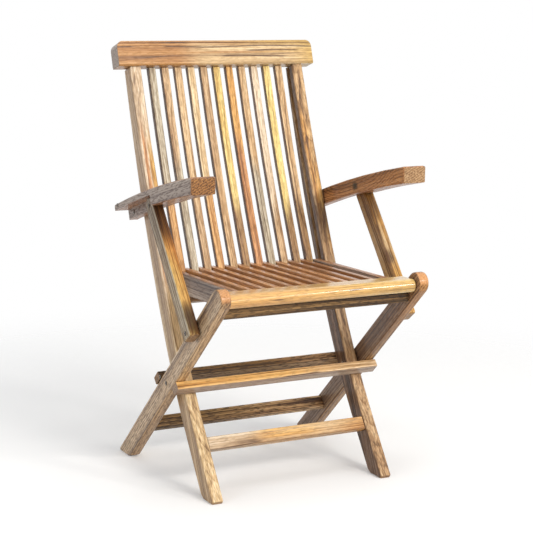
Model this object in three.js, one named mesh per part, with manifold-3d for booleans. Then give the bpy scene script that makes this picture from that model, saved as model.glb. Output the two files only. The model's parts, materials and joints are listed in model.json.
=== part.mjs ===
// Folding teak armchair with a slatted seat and a slatted back.
// Two frames cross like scissors. The stiles and the back are one frame, the rear legs the other.
// The seat turns on the tops of the rear legs, and its rear pins slide up grooves in the stiles.
// Units are millimetres. X runs across the chair, Y to the back and Z up. Left is the -X side.

import * as THREE from 'three';
import { mergeVertices } from 'three/addons/utils/BufferGeometryUtils.js';
import Module from 'manifold-3d';

const wasm = await Module();
wasm.setup();

// Fits
const joint_gap = 0.3; // between two pieces that are fastened to each other
const swing_gap = 2; // between two side pieces that turn past each other
const bore_clearance = 0.5; // round a pin in its bore
const groove_clearance = 0.7; // each side of a slide pin in its groove
const stop_gap = 1; // between the stop rails and the stiles of the open chair
const cut_overrun = 1; // every cut runs this far past the face that it opens
const pin_end_gap = 2; // between the end of a blind pin and the wood

// Slats, counted across the chair
const back_slat_count = 11;
const slat_pitch = 29.4;
const back_slat_width = 16;
const back_slat_thickness = 12;
const seat_slat_width = 12.4;
const seat_slat_height = 20;
const slat_ease = 1.5;

// Stiles, each one board from the floor to the top rail
const stile_outer = 200; // from the middle of the chair to the outer face
const stile_thickness = 25;
const stile_depth = 42;
const stile_top_depth = 32;
const stile_ease = 3.5;
const foot_middle = 25.8; // along Y, where the middle line meets the floor
const foot_angle = THREE.MathUtils.degToRad(54.5);
const knee_angle = THREE.MathUtils.degToRad(63.6);
const straight_height = 116.5; // the stile is straight up to here
const low_radius = 1300; // the bend between the foot and the seat
const high_radius = 3850; // the gentler bend of the back
const stile_height = 799.5;
const foot_corner = 7; // cut off the front and back edges of every foot

// Rear legs and the rails that tie them
const pivot_height = 202.6; // where the two frames cross
const leg_angle = THREE.MathUtils.degToRad(136.5);
const leg_width = 42;
const leg_thickness = 22;
const leg_ease = 3.5;
const leg_reach = 300; // from the crossing to the seat pivot
const stop_rail_thickness = 17;
const stop_rail_width = 26;
const rail_half_length = 225;
const rail_ease = 2.5;
const rear_stretcher_height = 28; // square to the legs
const rear_stretcher_thickness = 15;
const rear_stretcher_reach = 176.5; // from the crossing, down the leg
const rear_stretcher_rise = 2; // above the middle line of the leg

// Front stretcher between the stiles
const front_stretcher_height = 27;
const front_stretcher_thickness = 18;
const front_stretcher_level = 89; // where its middle crosses the line of the stile
const front_stretcher_setback = 2.7; // behind the front edge of the stiles

// Back
const top_rail_thickness = 36;
const top_rail_height = 52.5;
const top_rail_overhang = 6; // in front of the stiles
const top_rail_corner = 15;
const lower_back_rail_height = 24;
const lower_back_rail_thickness = 18;
const lower_back_rail_top = 363.9;

// Seat
const seat_pivot_depth = 7.8; // under the top of the slats
const seat_rail_thickness = 14.5;
const seat_rail_height = 40;
const seat_rail_inset = 5; // between the seat and a stile
const seat_pin_depth = 20; // under the top of the slats
const seat_pin_height = 386.6; // above the floor, on the line of the stile
const seat_slat_overhang = 23; // behind the slide pin
const front_rail_depth = 48;
const front_rail_height = 26;
const front_rail_lead = 11; // from the seat pivot forward to the rounded edge
const front_rail_overlap = 0.6; // how far the front rail stands above the slats
const slat_round_share = 0.25; // of a slat's height, at its rear end
const apron_thickness = 15;
const apron_height = 22;
const apron_setback = 28; // behind the front edge of the seat
const cross_rail_width = 26;
const cross_rail_height = 17;
const cross_rail_lead = 150; // in front of the slide pin

// Arms
const arm_width = 52;
const arm_depth = 33;
const arm_inner_thickness = 22; // the full-depth part beside the stile
const arm_tail_depth = 12.5; // what is left over the post
const arm_tail_length = 29; // behind the arm pivot
const arm_length = 351; // in front of the arm pivot
const arm_heading = THREE.MathUtils.degToRad(161.1); // of the top line at the arm pivot
const arm_radius = 2700;
const arm_step = 158; // where the arm gets its full depth, in front of the arm pivot
const arm_corner = 5; // of the front end, seen from above
const arm_nose = 7; // of the front end, seen from the side
const arm_tail_round = 5;
const arm_ease = 4;
const arm_pivot_height = 521.7; // on the line of the stile
const arm_pivot_setback = 8.6; // behind the middle line of the stile
const arm_pivot_drop = 22; // under the top line of the arm

// Posts that carry the arms
const post_width = 34;
const post_thickness = 22;
const post_ease = 3;
const post_top_reach = 134; // from the arm pivot
const post_foot_reach = 191.5; // from the crossing, up the leg
const post_foot_margin = 12.5; // from the foot screw to the square end
const post_foot_corner = 5;

// Bolts, screws and pins
const bolt_radius = 3;
const screw_radius = 2.5;
const head_radius = 4.3;
const head_height = swing_gap - 2 * joint_gap; // a head and a gap on both sides fit beside a post
const head_rim_share = 0.33; // of the head height, where the rim ends
const dome_share = 0.7; // of the head radius, where the dome flattens
const dome_rise_share = 0.67; // of the head height, at that place
const seat_pivot_grip = 30; // how far a seat pivot pin reaches into the front rail
const bolt_sides = 16;
const slide_pin_radius = 5;
const slide_pin_grip = 12; // inside the seat rail
const groove_depth = 11;
const groove_floor = 2; // wood left between a groove and an arm screw
const blind_wood = 8; // left beyond a blind screw or pin

// How the fold is shared out, as turns for one turn of the rear legs
const seat_turn_ratio = 2;
const fold_range = THREE.MathUtils.degToRad(60);

const round_steps = 10; // faces of a half-round end
const groove_steps = 14;
const stile_steps = 9;
const arm_steps = 10;

// A direction in the side view, as (Y, Z)
function heading(angle) {
  return new THREE.Vector2(Math.cos(angle), Math.sin(angle));
}

function step(from, angle, distance) {
  return from.clone().addScaledVector(heading(angle), distance);
}

const quarter_turn = Math.PI / 2;

// The middle line of a stile: straight, then two arcs that are tangent to it
const line_foot = new THREE.Vector2(foot_middle, 0);
const low_start = step(line_foot, foot_angle, straight_height / Math.sin(foot_angle));
const low_hub = step(low_start, foot_angle + quarter_turn, low_radius);
const high_start = step(low_hub, knee_angle - quarter_turn, low_radius);
const high_hub = step(high_start, knee_angle + quarter_turn, high_radius);

function stileAt(height) {
  if (height <= low_start.y) {
    return { point: step(line_foot, foot_angle, height / Math.sin(foot_angle)), angle: foot_angle };
  }
  const low = height <= high_start.y;
  const hub = low ? low_hub : high_hub;
  const radius = low ? low_radius : high_radius;
  const angle = Math.acos((hub.y - height) / radius);
  return { point: step(hub, angle - quarter_turn, radius), angle };
}

// A place in front of the middle line of the stile at a height, or behind it where it is negative
function besideStile(height, forward) {
  const { point, angle } = stileAt(height);
  return step(point, angle + quarter_turn, forward);
}

// Places that the pieces share
const crossing = stileAt(pivot_height).point;
const seat_pivot = step(crossing, leg_angle, leg_reach);
const slide_pin = stileAt(seat_pin_height).point;
const pin_from_pivot = slide_pin.clone().sub(seat_pivot);
const pin_fall = seat_pin_depth - seat_pivot_depth;
const seat_slope = -pin_from_pivot.angle() - Math.asin(pin_fall / pin_from_pivot.length());
const arm_pivot = besideStile(arm_pivot_height, -arm_pivot_setback);
const post_foot = step(crossing, leg_angle, post_foot_reach);
const leg_inner = stile_outer + swing_gap;
const leg_outer = leg_inner + leg_thickness;
const post_inner = leg_outer + swing_gap;
const post_outer = post_inner + post_thickness;
const stile_inner = stile_outer - stile_thickness;
const seat_rail_outer = stile_inner - seat_rail_inset;
const seat_rail_inner = seat_rail_outer - seat_rail_thickness;
const leg_foot = crossing.x - pivot_height / Math.tan(leg_angle);

// The top line of an arm, an arc that starts over the arm pivot and runs forward
const arm_hub = step(step(arm_pivot, arm_heading - quarter_turn, arm_pivot_drop),
  arm_heading + quarter_turn, arm_radius);

function onArm(forward, drop) {
  const angle = arm_heading - quarter_turn + forward / arm_radius;
  return step(arm_hub, angle, arm_radius - drop);
}

// The seat is drawn level about its pivot, which is the origin of its own side view
const seat_top = seat_pivot_depth;
const seat_axis = new THREE.Vector2(0, 0);
const seat_pin = new THREE.Vector2(Math.sqrt(pin_from_pivot.lengthSq() - pin_fall ** 2), -pin_fall);
const seat_front = -front_rail_lead;
const front_rail_half = leg_inner - swing_gap;
const slats_front = seat_front + front_rail_depth + joint_gap;

const post_drop = arm_tail_depth + post_width / 2 + stop_gap;
const post_top = onArm(post_top_reach, post_drop);

// Turns a closed three.js geometry into a solid for cutting
function solidOf(geometry) {
  const bare = geometry.clone();
  bare.deleteAttribute('normal');
  bare.deleteAttribute('uv');
  const merged = mergeVertices(bare);
  return new wasm.Manifold(new wasm.Mesh({
    numProp: 3,
    vertProperties: new Float32Array(merged.attributes.position.array),
    triVerts: new Uint32Array(merged.index.array),
  }));
}

function geometryOf(solid) {
  const mesh = solid.getMesh();
  const geometry = new THREE.BufferGeometry();
  geometry.setAttribute('position', new THREE.BufferAttribute(mesh.vertProperties, 3));
  geometry.setIndex(new THREE.BufferAttribute(mesh.triVerts, 1));
  geometry.computeVertexNormals();
  return geometry;
}

// Maps a drawing plane and its depth onto the side view and the width of the chair
const side_view = new THREE.Matrix4().makeBasis(
  new THREE.Vector3(0, 1, 0), new THREE.Vector3(0, 0, 1), new THREE.Vector3(1, 0, 0));

// A board cut to an outline seen from the side, with eased edges along both faces
function sideBoard(points, face_a, face_b, ease) {
  const depth = Math.abs(face_b - face_a);
  const geometry = new THREE.ExtrudeGeometry(new THREE.Shape(points), {
    depth: depth - 2 * ease,
    bevelEnabled: ease > 0,
    bevelThickness: ease,
    bevelSize: ease,
    bevelOffset: -ease,
    bevelSegments: 2,
    curveSegments: round_steps,
  });
  geometry.translate(0, 0, ease + Math.min(face_a, face_b));
  return solidOf(geometry.applyMatrix4(side_view));
}

// The points of an arc in the side view, from one direction to another
function arcPoints(centre, radius, from, to, steps) {
  const points = [];
  for (let i = 0; i <= steps; i += 1) {
    points.push(step(centre, from + (to - from) * i / steps, radius));
  }
  return points;
}

// A rectangle about its own middle with rounded corners
function roundedSection(width, height, radius, corner_steps = 2) {
  const points = [];
  for (const [corner, [across, up]] of [[1, 1], [-1, 1], [-1, -1], [1, -1]].entries()) {
    const centre = new THREE.Vector2(across * (width / 2 - radius), up * (height / 2 - radius));
    const from = corner * quarter_turn;
    points.push(...arcPoints(centre, radius, from, from + quarter_turn, corner_steps));
  }
  return points;
}

// A round pin or hole along X
function roundBar(centre, face_a, face_b, radius) {
  const geometry = new THREE.CylinderGeometry(radius, radius, Math.abs(face_b - face_a), bolt_sides);
  geometry.rotateZ(-quarter_turn);
  geometry.translate((face_a + face_b) / 2, centre.x, centre.y);
  return solidOf(geometry);
}

function bore(centre, face_a, face_b, radius) {
  return roundBar(centre, face_a, face_b, radius + bore_clearance);
}

// A bolt or screw whose low domed head lies on an outer face and whose shank runs inwards
function headedScrew(centre, outer_face, inner_end, radius, side) {
  const shank = outer_face + joint_gap - inner_end;
  const profile = [
    new THREE.Vector2(0, 0),
    new THREE.Vector2(radius, 0),
    new THREE.Vector2(radius, shank),
    new THREE.Vector2(head_radius, shank),
    new THREE.Vector2(head_radius, shank + head_height * head_rim_share),
    new THREE.Vector2(head_radius * dome_share, shank + head_height * dome_rise_share),
    new THREE.Vector2(0, shank + head_height),
  ];
  const geometry = new THREE.LatheGeometry(profile, bolt_sides);
  geometry.rotateZ(-quarter_turn * side);
  geometry.translate(side * inner_end, centre.x, centre.y);
  return solidOf(geometry);
}

const teak_colours = [0xc08a4e, 0xb57c44, 0xc9975a, 0xa8733f, 0xbd8750, 0xd0a066, 0xb98350];
const steel_colour = 0x4a4038;
const body_groups = {};
const chair = new THREE.Group();

for (const body of ['back_frame', 'rear_frame', 'seat', 'arm_left', 'arm_right', 'post_left', 'post_right']) {
  body_groups[body] = new THREE.Group();
  chair.add(body_groups[body]);
}

body_groups.seat.position.set(0, seat_pivot.x, seat_pivot.y);
body_groups.seat.rotation.x = -seat_slope;

let wood_count = 0;

function addWood(name, body, solid) {
  const material = new THREE.MeshStandardMaterial({
    color: teak_colours[wood_count % teak_colours.length], roughness: 0.55, metalness: 0,
  });
  wood_count += 1;
  const mesh = new THREE.Mesh(geometryOf(solid), material);
  mesh.name = name;
  body_groups[body].add(mesh);
  return mesh;
}

function addSteel(name, body, solid) {
  const material = new THREE.MeshStandardMaterial({ color: steel_colour, roughness: 0.4, metalness: 0.9 });
  const mesh = new THREE.Mesh(geometryOf(solid), material);
  mesh.name = name;
  body_groups[body].add(mesh);
  return mesh;
}

// Names and signs of the two sides
const sides = [['left', -1], ['right', 1]];

// Depth of a stile, which tapers from the arm to the top rail
function stileHalfDepth(height) {
  const up = THREE.MathUtils.clamp((height - arm_pivot_height) / (stile_height - arm_pivot_height), 0, 1);
  return THREE.MathUtils.lerp(stile_depth, stile_top_depth, up) / 2;
}

// One edge of a foot, as a point on the floor and one above it; way is 1 for the back edge
function footCorner(middle, board_depth, angle, way) {
  const edge = new THREE.Vector2(middle + way * board_depth / 2 / Math.sin(angle), 0);
  return [new THREE.Vector2(edge.x - way * foot_corner, 0), step(edge, angle, foot_corner)];
}

function stileOutline() {
  const front = footCorner(foot_middle, stile_depth, foot_angle, -1);
  const back = footCorner(foot_middle, stile_depth, foot_angle, 1);
  for (let i = 0; i <= 2 * stile_steps; i += 1) {
    const height = THREE.MathUtils.lerp(straight_height, stile_height, i / (2 * stile_steps));
    front.push(besideStile(height, stileHalfDepth(height)));
    back.push(besideStile(height, -stileHalfDepth(height)));
  }
  return [...back, ...front.reverse()];
}

// Where the slide pin is, seen from the stile, after the rear legs have turned
function slidePinAfter(turn) {
  const origin = new THREE.Vector2(0, 0);
  const pivot = seat_pivot.clone().sub(crossing).rotateAround(origin, -turn).add(crossing);
  const arm = pin_from_pivot.clone().rotateAround(origin, (seat_turn_ratio - 1) * turn);
  return pivot.add(arm);
}

// The groove follows the slide pin through the whole fold, and then runs out at the top of the stile,
// or just past the pin where a shorter stile ends below it
function grooveOutline() {
  const half = slide_pin_radius + groove_clearance;
  const path = [];
  for (let i = 0; i <= groove_steps; i += 1) {
    path.push(slidePinAfter(fold_range * i / groove_steps));
  }
  const last = path[groove_steps];
  const beside = stileAt(last.y);
  const offset = (beside.point.x - last.x) * Math.sin(beside.angle);
  const top = step(besideStile(stile_height, offset), stileAt(stile_height).angle, cut_overrun);
  const past_pin = step(last, beside.angle, half + cut_overrun);
  path.push(top.y > past_pin.y ? top : past_pin);
  const ahead = path[1].clone().sub(path[0]).angle();
  const front = [];
  const back = [];
  for (let i = 1; i < path.length; i += 1) {
    const angle = path[Math.min(i + 1, path.length - 1)].clone().sub(path[i - 1]).angle();
    front.push(step(path[i], angle + quarter_turn, half));
    back.push(step(path[i], angle - quarter_turn, half));
  }
  const low_end = arcPoints(path[0], half, ahead + quarter_turn, ahead + 3 * quarter_turn, round_steps);
  return [...low_end, ...back, ...front.reverse()];
}

function buildStiles() {
  for (const [side_name, side] of sides) {
    const groove = sideBoard(grooveOutline(), side * (stile_inner - cut_overrun),
      side * (stile_inner + groove_depth), 0);
    const screw_end = stile_inner + groove_depth + groove_floor;
    const stile = sideBoard(stileOutline(), side * stile_inner, side * stile_outer, stile_ease)
      .subtract(groove)
      .subtract(bore(crossing, side * (stile_inner - cut_overrun), side * (stile_outer + cut_overrun),
        bolt_radius))
      .subtract(bore(arm_pivot, side * screw_end, side * (stile_outer + cut_overrun), screw_radius));
    addWood(`stile_${side_name}`, 'back_frame', stile);
  }
}

function buildBackSlats() {
  const low = lower_back_rail_top + joint_gap;
  const front = [];
  const back = [];
  for (let i = 0; i <= stile_steps; i += 1) {
    const height = THREE.MathUtils.lerp(low, stile_height - joint_gap, i / stile_steps);
    front.push(besideStile(height, back_slat_thickness / 2));
    back.push(besideStile(height, -back_slat_thickness / 2));
  }
  const slat = sideBoard([...back, ...front.reverse()], -back_slat_width / 2, back_slat_width / 2,
    slat_ease);
  const middle = (back_slat_count - 1) / 2;
  for (let i = 0; i < back_slat_count; i += 1) {
    const mesh = addWood(`back_slat_${i + 1}`, 'back_frame', slat);
    mesh.position.x = (i - middle) * slat_pitch;
  }
}

// A rail across the chair, drawn upright about its own middle and then leaned to its angle
function addRail(name, body, solid, centre, angle) {
  const mesh = addWood(name, body, solid);
  mesh.position.set(0, centre.x, centre.y);
  mesh.rotation.x = angle - quarter_turn;
  return mesh;
}

function railSolid(thickness, height, half_length, radius) {
  return sideBoard(roundedSection(thickness, height, radius), -half_length, half_length, 0);
}

function buildTopRail() {
  const { angle } = stileAt(stile_height);
  const section = railSolid(top_rail_thickness, top_rail_height, rail_half_length, stile_ease);
  const shoulder = rail_half_length - top_rail_corner;
  const rise = top_rail_height / 2;
  const right = arcPoints(new THREE.Vector2(shoulder, rise - top_rail_corner), top_rail_corner,
    0, quarter_turn, round_steps);
  const left = right.map((point) => new THREE.Vector2(-point.x, point.y)).reverse();
  const low = -rise - cut_overrun;
  const front_view = new THREE.Shape([
    ...right, ...left,
    new THREE.Vector2(-rail_half_length, low), new THREE.Vector2(rail_half_length, low),
  ]);
  const slab = new THREE.ExtrudeGeometry(front_view, {
    depth: top_rail_thickness + 2 * cut_overrun, bevelEnabled: false,
  });
  slab.translate(0, 0, -top_rail_thickness / 2 - cut_overrun);
  slab.rotateX(quarter_turn);
  const forward = stile_top_depth / 2 + top_rail_overhang - top_rail_thickness / 2;
  const centre = step(besideStile(stile_height, forward), angle, rise + joint_gap);
  addRail('top_rail', 'back_frame', section.intersect(solidOf(slab)), centre, angle);
}

function buildBackFrameRails() {
  const low = stileAt(lower_back_rail_top);
  const back_rail_centre = step(low.point, low.angle, -lower_back_rail_height / 2);
  const back_rail = railSolid(lower_back_rail_thickness, lower_back_rail_height,
    stile_inner - joint_gap, rail_ease);
  addRail('lower_back_rail', 'back_frame', back_rail, back_rail_centre, low.angle);

  const forward = stile_depth / 2 - front_stretcher_setback - front_stretcher_thickness / 2;
  const stretcher = railSolid(front_stretcher_thickness, front_stretcher_height,
    stile_inner - joint_gap, rail_ease);
  addRail('front_stretcher', 'back_frame', stretcher, besideStile(front_stretcher_level, forward),
    stileAt(front_stretcher_level).angle);
}

function legOutline() {
  const half = leg_width / 2;
  return [
    ...footCorner(leg_foot, leg_width, leg_angle, -1).reverse(),
    ...footCorner(leg_foot, leg_width, leg_angle, 1),
    ...arcPoints(seat_pivot, half, leg_angle - quarter_turn, leg_angle + quarter_turn, round_steps),
  ];
}

function buildRearLegs() {
  for (const [side_name, side] of sides) {
    const inner = side * (leg_inner - cut_overrun);
    const outer = side * (leg_outer + cut_overrun);
    const leg = sideBoard(legOutline(), side * leg_inner, side * leg_outer, leg_ease)
      .subtract(bore(crossing, inner, outer, bolt_radius))
      .subtract(bore(seat_pivot, inner, side * (leg_outer - blind_wood), bolt_radius));
    addWood(`rear_leg_${side_name}`, 'rear_frame', leg);
  }
}

// The stop rails lie across the legs on both sides of the crossing and meet the stiles when open
function buildStopRails() {
  const stile_angle = stileAt(pivot_height).angle;
  const between = leg_angle - stile_angle;
  const out = leg_width / 2 + stop_rail_thickness / 2 + joint_gap;
  const half_across = stop_rail_width / 2 * Math.sin(between)
    + stop_rail_thickness / 2 * Math.abs(Math.cos(between));
  const along = (stile_depth / 2 + stop_gap + half_across - out * Math.cos(between)) / Math.sin(between);
  const rail = railSolid(stop_rail_thickness, stop_rail_width, rail_half_length, rail_ease);
  for (const [name, way] of [['front_stop_rail', 1], ['rear_stop_rail', -1]]) {
    const on_leg = step(crossing, leg_angle, way * along);
    addRail(name, 'rear_frame', rail, step(on_leg, leg_angle + quarter_turn, way * out), leg_angle);
  }
}

function buildRearStretcher() {
  const on_leg = step(crossing, leg_angle, -rear_stretcher_reach);
  const centre = step(on_leg, leg_angle - quarter_turn, rear_stretcher_rise);
  const stretcher = railSolid(rear_stretcher_thickness, rear_stretcher_height,
    leg_inner - joint_gap, rail_ease);
  addRail('rear_stretcher', 'rear_frame', stretcher, centre, leg_angle - quarter_turn);
}

// The front rail of the seat, with a round nose, hangs between the tops of the rear legs
function buildSeatFrontRail() {
  const nose = front_rail_height / 2;
  const top = seat_top + front_rail_overlap;
  const back = seat_front + front_rail_depth;
  const outline = [
    ...arcPoints(new THREE.Vector2(seat_front + nose, top - nose), nose,
      quarter_turn, 3 * quarter_turn, round_steps),
    new THREE.Vector2(back, top - front_rail_height),
    new THREE.Vector2(back, top),
  ];
  const rail = sideBoard(outline, -front_rail_half, front_rail_half, 0);
  const cut = sides.map(([, side]) => bore(seat_axis, side * (front_rail_half - seat_pivot_grip),
    side * (front_rail_half + cut_overrun), bolt_radius));
  addWood('seat_front_rail', 'seat', rail.subtract(cut[0]).subtract(cut[1]));
}

function boxBetween(x, y, z) {
  const geometry = new THREE.BoxGeometry(x[1] - x[0], y[1] - y[0], z[1] - z[0]);
  geometry.translate((x[0] + x[1]) / 2, (y[0] + y[1]) / 2, (z[0] + z[1]) / 2);
  return solidOf(geometry);
}

function buildSeatFrame() {
  const bottom = seat_top - seat_rail_height;
  const round = seat_rail_height / 2;
  const rear_end = new THREE.Vector2(seat_pin.x, seat_top - round);
  const outline = [
    new THREE.Vector2(slats_front, bottom),
    ...arcPoints(rear_end, round, -quarter_turn, quarter_turn, round_steps),
    new THREE.Vector2(slats_front, seat_top),
  ];
  for (const [side_name, side] of sides) {
    const rail = sideBoard(outline, side * seat_rail_inner, side * seat_rail_outer, slat_ease)
      .subtract(bore(seat_pin, side * (seat_rail_outer - slide_pin_grip),
        side * (seat_rail_outer + cut_overrun), slide_pin_radius));
    addWood(`seat_side_rail_${side_name}`, 'seat', rail);
  }

  const under_front_rail = seat_top + front_rail_overlap - front_rail_height - joint_gap;
  const apron_front = seat_front + apron_setback;
  addWood('seat_apron', 'seat', boxBetween([-front_rail_half, front_rail_half],
    [apron_front, apron_front + apron_thickness], [under_front_rail - apron_height, under_front_rail]));

  const under_slats = seat_top - seat_slat_height - joint_gap;
  const cross_half = seat_rail_inner - joint_gap;
  const cross_back = seat_pin.x - cross_rail_lead;
  addWood('seat_cross_rail', 'seat', boxBetween([-cross_half, cross_half],
    [cross_back - cross_rail_width, cross_back], [under_slats - cross_rail_height, under_slats]));
}

function buildSeatSlats() {
  const rear = seat_pin.x + seat_slat_overhang;
  const round = seat_slat_height * slat_round_share;
  const bottom = seat_top - seat_slat_height;
  const outline = [
    new THREE.Vector2(slats_front, bottom),
    ...arcPoints(new THREE.Vector2(rear - round, bottom + round), round, -quarter_turn, 0, 2),
    ...arcPoints(new THREE.Vector2(rear - round, seat_top - round), round, 0, quarter_turn, 2),
    new THREE.Vector2(slats_front, seat_top),
  ];
  const slat = sideBoard(outline, -seat_slat_width / 2, seat_slat_width / 2, slat_ease);
  const count = back_slat_count - 1;
  for (let i = 0; i < count; i += 1) {
    const mesh = addWood(`seat_slat_${i + 1}`, 'seat', slat);
    mesh.position.x = (i - (count - 1) / 2) * slat_pitch;
  }
}

// The outline of an arm from above, with round corners at the front
function armPlan(side) {
  const front = onArm(arm_length, 0).x;
  const rear = arm_pivot.x + arm_tail_length + arm_depth;
  const inner = leg_inner;
  const outer = leg_inner + arm_width;
  const corners = [
    ...arcPoints(new THREE.Vector2(outer - arm_corner, front + arm_corner), arm_corner,
      0, -quarter_turn, 4),
    ...arcPoints(new THREE.Vector2(inner + arm_corner, front + arm_corner), arm_corner,
      -quarter_turn, -2 * quarter_turn, 4),
  ];
  const points = [new THREE.Vector2(outer, rear), ...corners, new THREE.Vector2(inner, rear)];
  return new THREE.Shape(points.map((point) => new THREE.Vector2(side * point.x, point.y)));
}

// The outline of an arm from the side, between two depths under its top line
function armOutline(from, to, top_drop, low_drop) {
  const top = [];
  const low = [];
  for (let i = 0; i <= arm_steps; i += 1) {
    const forward = THREE.MathUtils.lerp(from, to, i / arm_steps);
    top.push(onArm(forward, top_drop));
    low.push(onArm(forward, low_drop));
  }
  return [...top, ...low.reverse()];
}

// A round corner of an arm, whose middle lies at a place under the top line
function armCorner(forward, drop, radius, quarter) {
  const from = arm_heading + forward / arm_radius + quarter * quarter_turn;
  return arcPoints(onArm(forward, drop), radius, from, from + quarter_turn, 3);
}

function armBoardOutline() {
  const board = armOutline(arm_tail_round - arm_tail_length, arm_length - arm_nose, 0, arm_depth);
  const half = board.length / 2;
  return [
    ...armCorner(arm_tail_round - arm_tail_length, arm_tail_round, arm_tail_round, -2),
    ...board.slice(1, half - 1),
    ...armCorner(arm_length - arm_nose, arm_nose, arm_nose, -1),
    ...armCorner(arm_length - arm_nose, arm_depth - arm_nose, arm_nose, 0),
    ...board.slice(half + 1),
    onArm(-arm_tail_length, arm_depth),
  ];
}

function buildArms() {
  for (const [side_name, side] of sides) {
    const outer = leg_inner + arm_width;
    const wall = leg_inner + arm_inner_thickness;
    const board = sideBoard(armBoardOutline(), side * leg_inner, side * outer, arm_ease);
    const plan = new THREE.ExtrudeGeometry(armPlan(side), {
      depth: stile_height, bevelEnabled: false,
    });
    const rebate = sideBoard(armOutline(-arm_tail_length - arm_depth, arm_step, arm_tail_depth,
      arm_depth + cut_overrun), side * wall, side * (outer + cut_overrun), 0);
    const arm = board.intersect(solidOf(plan))
      .subtract(rebate)
      .subtract(bore(arm_pivot, side * (leg_inner - cut_overrun), side * (wall + cut_overrun),
        screw_radius))
      .subtract(bore(post_top, side * (leg_inner + blind_wood), side * (wall + cut_overrun),
        screw_radius));
    addWood(`arm_${side_name}`, `arm_${side_name}`, arm);
  }
}

function buildPosts() {
  const half = post_width / 2;
  const angle = post_top.clone().sub(post_foot).angle();
  const end_line = step(post_foot, angle, post_foot_corner - post_foot_margin);
  const outline = arcPoints(post_top, half, angle - quarter_turn, angle + quarter_turn, round_steps);
  for (const [way, quarter] of [[1, 1], [-1, 2]]) {
    const centre = step(end_line, angle + quarter_turn, way * (half - post_foot_corner));
    const from = angle + quarter * quarter_turn;
    outline.push(...arcPoints(centre, post_foot_corner, from, from + quarter_turn, 3));
  }
  for (const [side_name, side] of sides) {
    const inner = side * (post_inner - cut_overrun);
    const outer = side * (post_outer + cut_overrun);
    const post = sideBoard(outline, side * post_inner, side * post_outer, post_ease)
      .subtract(bore(post_top, inner, outer, screw_radius))
      .subtract(bore(post_foot, inner, outer, screw_radius));
    addWood(`post_${side_name}`, `post_${side_name}`, post);
  }
}

function buildFasteners() {
  const arm_wall = leg_inner + arm_inner_thickness;
  for (const [side_name, side] of sides) {
    addSteel(`crossing_bolt_${side_name}`, 'back_frame',
      headedScrew(crossing, leg_outer, stile_inner + joint_gap, bolt_radius, side));
    addSteel(`seat_pivot_pin_${side_name}`, 'seat',
      roundBar(seat_axis, side * (front_rail_half - seat_pivot_grip + joint_gap),
        side * (leg_outer - blind_wood - pin_end_gap), bolt_radius));
    addSteel(`arm_pivot_screw_${side_name}`, 'back_frame',
      headedScrew(arm_pivot, arm_wall, stile_inner + groove_depth + groove_floor + joint_gap,
        screw_radius, side));
    addSteel(`post_top_screw_${side_name}`, `arm_${side_name}`,
      headedScrew(post_top, post_outer, leg_inner + blind_wood + joint_gap, screw_radius, side));
    addSteel(`post_foot_screw_${side_name}`, `post_${side_name}`,
      headedScrew(post_foot, post_outer, leg_outer + joint_gap, screw_radius, side));
    addSteel(`seat_slide_pin_${side_name}`, 'seat',
      roundBar(seat_pin, side * (seat_rail_outer - slide_pin_grip + joint_gap),
        side * (stile_inner + groove_depth - pin_end_gap), slide_pin_radius));
  }
}

buildStiles();
buildBackSlats();
buildTopRail();
buildBackFrameRails();
buildRearLegs();
buildStopRails();
buildRearStretcher();
buildSeatFrontRail();
buildSeatFrame();
buildSeatSlats();
buildArms();
buildPosts();
buildFasteners();

// The origin lies on the floor under the middle of the open chair
const bounds = new THREE.Box3().setFromObject(chair);
chair.position.y = -(bounds.min.y + bounds.max.y) / 2;

export default chair;
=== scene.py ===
# %% [markdown]
# # A folding teak armchair
#
# The chair is made of forty teak boards and a few bolts, screws and pins. The frame holds each board
# as a plain solid of its real size, so this lesson leaves the shapes alone. It softens their edges,
# gives every board its own grain, and lights them as a studio would.

# %% Load the frame
import json
import math

import bmesh
import bpy
from mathutils import Matrix, Vector


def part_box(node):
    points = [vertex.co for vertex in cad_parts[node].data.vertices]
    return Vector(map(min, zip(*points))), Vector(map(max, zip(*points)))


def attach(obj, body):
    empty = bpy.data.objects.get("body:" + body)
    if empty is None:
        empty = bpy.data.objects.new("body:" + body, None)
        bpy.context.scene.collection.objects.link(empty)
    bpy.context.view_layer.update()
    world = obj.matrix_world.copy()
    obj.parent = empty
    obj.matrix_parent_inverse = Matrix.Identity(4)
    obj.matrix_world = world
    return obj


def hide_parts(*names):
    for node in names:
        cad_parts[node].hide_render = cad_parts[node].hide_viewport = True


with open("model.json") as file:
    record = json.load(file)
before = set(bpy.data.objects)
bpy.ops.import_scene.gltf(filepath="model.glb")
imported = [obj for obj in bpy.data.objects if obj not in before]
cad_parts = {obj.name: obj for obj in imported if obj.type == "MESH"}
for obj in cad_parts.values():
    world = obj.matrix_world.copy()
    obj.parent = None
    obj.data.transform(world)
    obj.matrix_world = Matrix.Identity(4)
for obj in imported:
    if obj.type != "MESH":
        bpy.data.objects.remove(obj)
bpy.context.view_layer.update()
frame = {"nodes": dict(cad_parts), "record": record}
nodes = frame["nodes"]
bodies = frame["record"]["behaviour"]["bodies"]
body_of_node = {name: body for body, names in bodies.items() for name in names}
slot_of_node = {row["node"]: row["material_slot"] for row in frame["record"]["subparts"]}

# %% [markdown]
# ## Shader maths as plain sums
#
# A wood finish is a sum of many small patterns. It could be wired by hand, one Math node after the
# other, but that hides the sum. So a small class wraps a socket and lets Python's own operators add
# the nodes: 1 - ring is then a Subtract node that already holds its numbers.

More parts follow.
